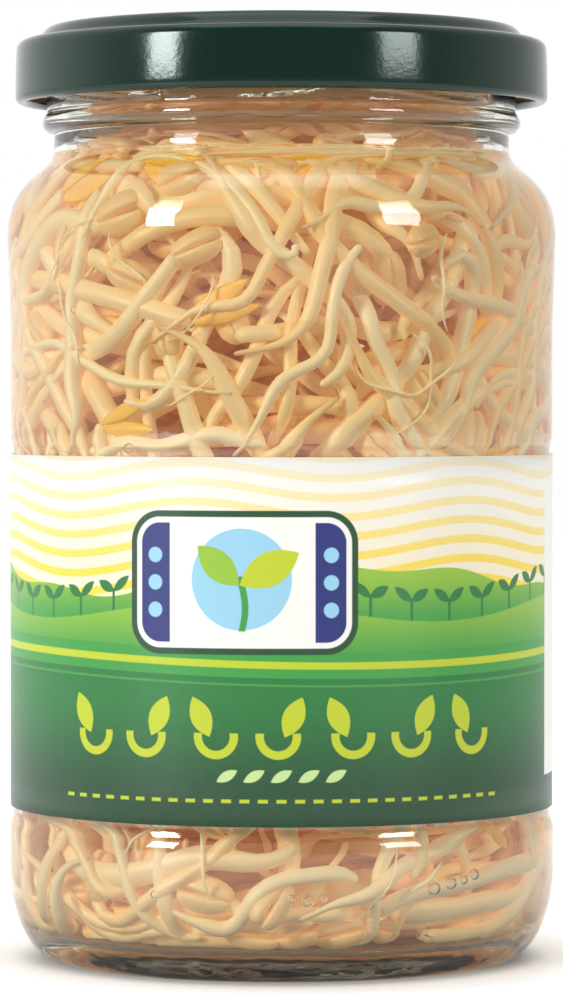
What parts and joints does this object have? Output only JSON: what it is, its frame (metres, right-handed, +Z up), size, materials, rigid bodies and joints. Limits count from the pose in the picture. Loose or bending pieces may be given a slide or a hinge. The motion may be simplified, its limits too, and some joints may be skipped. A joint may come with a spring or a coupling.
{
  "type": "jar of bean sprouts",
  "caption": "Glass preserving jar with a twist-off metal lid and a wrap-round paper label, packed with mung bean sprouts in brine.",
  "frame": {"origin": "centre of the ring on which the jar stands", "axes": "+Z up along the jar's axis; the printed front of the label faces -Y"},
  "size_m": [0.0716, 0.0716, 0.121],
  "materials": {
    "jar_glass": "clear soda-lime glass with a faint green tint",
    "lid_enamel": "dark green gloss lacquer on tinplate with a fine orange-peel texture",
    "seal": "matt off-white flowed-in sealing compound",
    "label_paper": "coated paper printed in bands of white, yellow and green, satin",
    "brine": "clear amber liquid",
    "sprouts": "moist ivory sprouts with cream seed halves and small yellow leaves"
  },
  "bodies": {
    "root": {"glass_jar": "jar_glass", "lid": "lid_enamel", "sealing_ring": "seal", "label": "label_paper", "brine": "brine", "sprouts_lower": "sprouts", "sprouts_middle": "sprouts", "sprouts_upper": "sprouts"}
  },
  "joints": []
}
